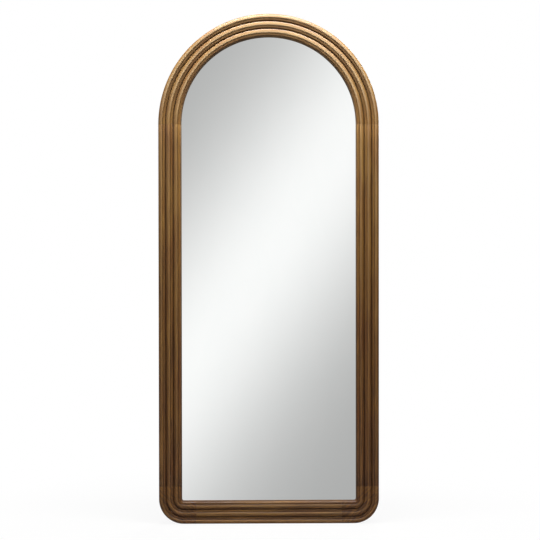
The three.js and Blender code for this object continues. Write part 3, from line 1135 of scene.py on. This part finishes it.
def screw_body():
    """A screw along Y: its point at -Y, and the underside of its head at y = 0."""
    rings = []
    rows = round(screw_length / thread_row)
    for row in range(rows):
        along = row * screw_length / rows
        taper = min(1.0, (along + point_start) / point_length)
        fade = min(1.0, max(0.0, (screw_length - neck_length - along) / thread_pitch))
        ring = []
        for i in range(thread_sides):
            phase = (along / thread_pitch + i / thread_sides) % 1.0
            ridge = fade * max(0.0, 1 - abs(phase - 0.5) / thread_sharpness)
            radius = taper * (core_radius + (screw_diameter / 2 - core_radius) * ridge)
            turn = 2 * math.pi * i / thread_sides
            ring.append((radius * math.cos(turn), along - screw_length, radius * math.sin(turn)))
        rings.append(ring)
    rings.append(circle(core_radius, thread_sides))
    rings.append(circle(head_radius - head_edge, thread_sides))
    rings.append(circle(head_radius, thread_sides, y=head_edge))
    for k in range(dome_steps + 1):
        turn = k / dome_steps * math.pi / 2 * dome_share
        height = head_rim + (head_height - head_rim) * math.sin(turn)
        rings.append(circle(head_radius * math.cos(turn), thread_sides, y=height))
    return loft(rings)


def cross_tool():
    """A tapered cross that reaches from above the head down into it."""
    rings = []
    levels = ((head_height + recess_mouth, 1.0), (head_height - recess_depth, recess_taper))
    for y, share in levels:
        far = recess_reach * share
        near = recess_width / 2 * share
        arm = [(far, -near), (far, near), (near, near)]
        ring = []
        for _ in range(4):
            ring += [(a, y, b) for a, b in arm]
            arm = [(-b, a) for a, b in arm]
        rings.append(ring)
    return new_piece("tool", loft(rings))


screw_shape = new_piece("screw", screw_body())
carve(screw_shape, cross_tool())
smooth(screw_shape, 35)
for i, node in enumerate(panel_screws + hanger_screws):
    screw = put(node + ".threaded", screw_shape.data)
    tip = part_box(node)[0].y
    screw.location = (middle_of(node).x, tip + screw_length, middle_of(node).z)
    screw.rotation_euler.y = math.radians(turn_between * i)
    dress(screw, steel, "zinc_steel", "mirror", node)
bpy.data.objects.remove(screw_shape)
print("screws:", len(panel_screws) + len(hanger_screws))

# %% [markdown]
# ## Ring hangers
#
# On the back of each upright a strap of bent strip is screwed flat to the wood, and its
# top is rolled round the straight side of a wire ring. The ring hangs, and swings up and
# away from the wood about that straight side, so each ring moves with its own body.

# %% Strap
strap_width = 16 * MM
strap_thickness = 1.5 * MM
strap_corner = 4 * MM
corner_steps = 8
wire_diameter = 3.2 * MM
running_clearance = 0.3 * MM
roll_end = math.radians(-80)
roll_steps = 28
roll_inner = wire_diameter / 2 + running_clearance
roll_outer = roll_inner + strap_thickness
strap_easing = 0.3 * MM
strap_low, strap_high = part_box("hanger_strap_left")
strap_length = strap_high.z - strap_low.z - roll_outer


def arc(x, y, radius, start, end, steps):
    turns = [start + (end - start) * k / steps for k in range(steps + 1)]
    return [Vector((x + radius * math.cos(t), y + radius * math.sin(t))) for t in turns]


def strap_outline():
    """The strap from the side: x away from the wood, y up. The ring's axis is (roll_outer, 0)."""
    inner = arc(roll_outer, 0, roll_inner, math.pi, roll_end, roll_steps)
    outer = arc(roll_outer, 0, roll_outer, roll_end, math.pi, roll_steps)
    foot = [Vector((0, -strap_length)), Vector((strap_thickness, -strap_length))]
    return eased([(p.x, p.y) for p in foot + inner + outer], strap_easing)


def strap_piece(node):
    low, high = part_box(node)
    axis_z = high.z - roll_outer
    middle_x = (low.x + high.x) / 2
    outline = strap_outline()
    rings = []
    half = strap_width / 2
    for x in (-half, strap_easing - half, half - strap_easing, half):
        edge = shrunk(outline, strap_easing if abs(x) == half else 0)
        rings.append([(middle_x + x, low.y + p.x, axis_z + p.y) for p in edge])
    piece = new_piece(node + ".rolled", loft(rings))
    corner_x = half - strap_corner
    corner_y = strap_corner - strap_length
    left = arc(-corner_x, corner_y, strap_corner, math.pi, 1.5 * math.pi, corner_steps)
    right = arc(corner_x, corner_y, strap_corner, 1.5 * math.pi, 2 * math.pi, corner_steps)
    top = [Vector((half, 2 * roll_outer)), Vector((-half, 2 * roll_outer))]
    ends = (low.y - MM, high.y + MM)
    rounded = [[(middle_x + p.x, y, axis_z + p.y) for p in left + right + top] for y in ends]
    carve(piece, new_piece("tool", loft(rounded)), "INTERSECT")
    holes = [drill(screw) for screw in hanger_screws if inside(screw, node)]
    carve(piece, new_piece("tool", *holes))
    smooth(piece, 35)
    dress(piece, steel, "zinc_steel", "mirror", node)
    return piece


for node in ("hanger_strap_left", "hanger_strap_right"):
    print(node, [round(v / MM, 1) for v in strap_piece(node).dimensions], "mm")

# %% Ring
ring_inner_width = 24 * MM
ring_reach = 20 * MM
ring_bend = 4 * MM
ring_seam = 0.4 * MM
wire_sides = 16
wire_taper = 0.85
line_steps = 10
round_steps = 48


def ring_line():
    """The middle of the wire: a D with its ends together in the straight side."""
    half = (ring_inner_width + wire_diameter) / 2
    up = math.pi / 2
    flat = half - ring_bend
    start = [Vector((ring_seam / 2 + flat * k / line_steps, 0)) for k in range(line_steps)]
    return [
        *start,
        *arc(flat, -ring_bend, ring_bend, up, 0, line_steps),
        *arc(0, half - ring_reach, half, 0, -math.pi, round_steps),
        *arc(-flat, -ring_bend, ring_bend, math.pi, up, line_steps),
        *[Vector((-p.x, p.y)) for p in reversed(start)],
    ]


def wire_body(line, middle):
    """Round wire along a flat line, with its ends eased."""
    radius = wire_diameter / 2
    rings = []
    for i, point in enumerate(line):
        forward = (line[min(i + 1, len(line) - 1)] - line[max(i - 1, 0)]).normalized()
        outwards = Vector((-forward.y, forward.x))
        here = radius * wire_taper if i in (0, len(line) - 1) else radius
        ring = []
        for k in range(wire_sides):
            turn = 2 * math.pi * k / wire_sides
            flat = point + outwards * here * math.cos(turn)
            ring.append((middle.x + flat.x, middle.y + here * math.sin(turn), middle.z + flat.y))
        rings.append(ring)
    return loft(rings)


for side in ("left", "right"):
    node = "hanger_ring_" + side
    low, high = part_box(node)
    axis = Vector((middle_of(node).x, middle_of(node).y, high.z - wire_diameter / 2))
    ring = new_piece(node + ".wire", wire_body(ring_line(), axis))
    smooth(ring, 50)
    dress(ring, steel, "zinc_steel", "ring_" + side, node)
    print(node, [round(v / MM, 1) for v in ring.dimensions], "mm")

# %% [markdown]
# ## Bumpers
#
# Four rubber bumpers keep the wood off the wall. Each is a low cone, moulded in one,
# with a soft rim, a small step at its foot and a shallow dish in its top.

# %% Bumpers
bumper_radius = 10 * MM
bumper_top_radius = 8.5 * MM
bumper_height = 9 * MM
bumper_rim = 1.2 * MM
foot_step = 1.4 * MM
dish_radius = 3 * MM
dish_depth = 0.3 * MM
bumper_sides = 48
rim_steps = 6


def bumper_profile():
    """Radius and height from the foot to the middle of the top."""
    side_lean = (bumper_radius - bumper_top_radius) / bumper_height
    step_radius = bumper_radius - foot_step * side_lean - 0.35 * MM
    rim_start = bumper_height - bumper_rim
    rim_radius = bumper_radius - rim_start * side_lean
    dish_floor = bumper_height - dish_depth
    profile = [
        (bumper_radius - 0.4 * MM, 0),
        (bumper_radius - 0.05 * MM, 0.4 * MM),
        (bumper_radius - foot_step * side_lean, foot_step),
        (step_radius, foot_step + 0.3 * MM),
    ]
    for k in range(rim_steps + 1):
        turn = k / rim_steps * math.pi / 2
        reach = rim_radius - bumper_rim * (1 - math.cos(turn))
        profile.append((reach, rim_start + bumper_rim * math.sin(turn)))
    return profile + [
        (dish_radius + 0.4 * MM, bumper_height),
        (dish_radius, bumper_height - 0.1 * MM),
        (dish_radius - 0.6 * MM, dish_floor),
        (0.5 * MM, dish_floor),
    ]


bumper_rings = [circle(radius, bumper_sides, y=height) for radius, height in bumper_profile()]
bumper_shape = new_piece("bumper", loft(bumper_rings))
smooth(bumper_shape, 30)
for node in nodes_with("bumper"):
    bumper = put(node + ".moulded", bumper_shape.data)
    bumper.location = (middle_of(node).x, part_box(node)[0].y, middle_of(node).z)
    dress(bumper, rubber, "bumper_rubber", "mirror", node)
bpy.data.objects.remove(bumper_shape)
print("bumpers are", round(2 * bumper_radius / MM), "mm across")
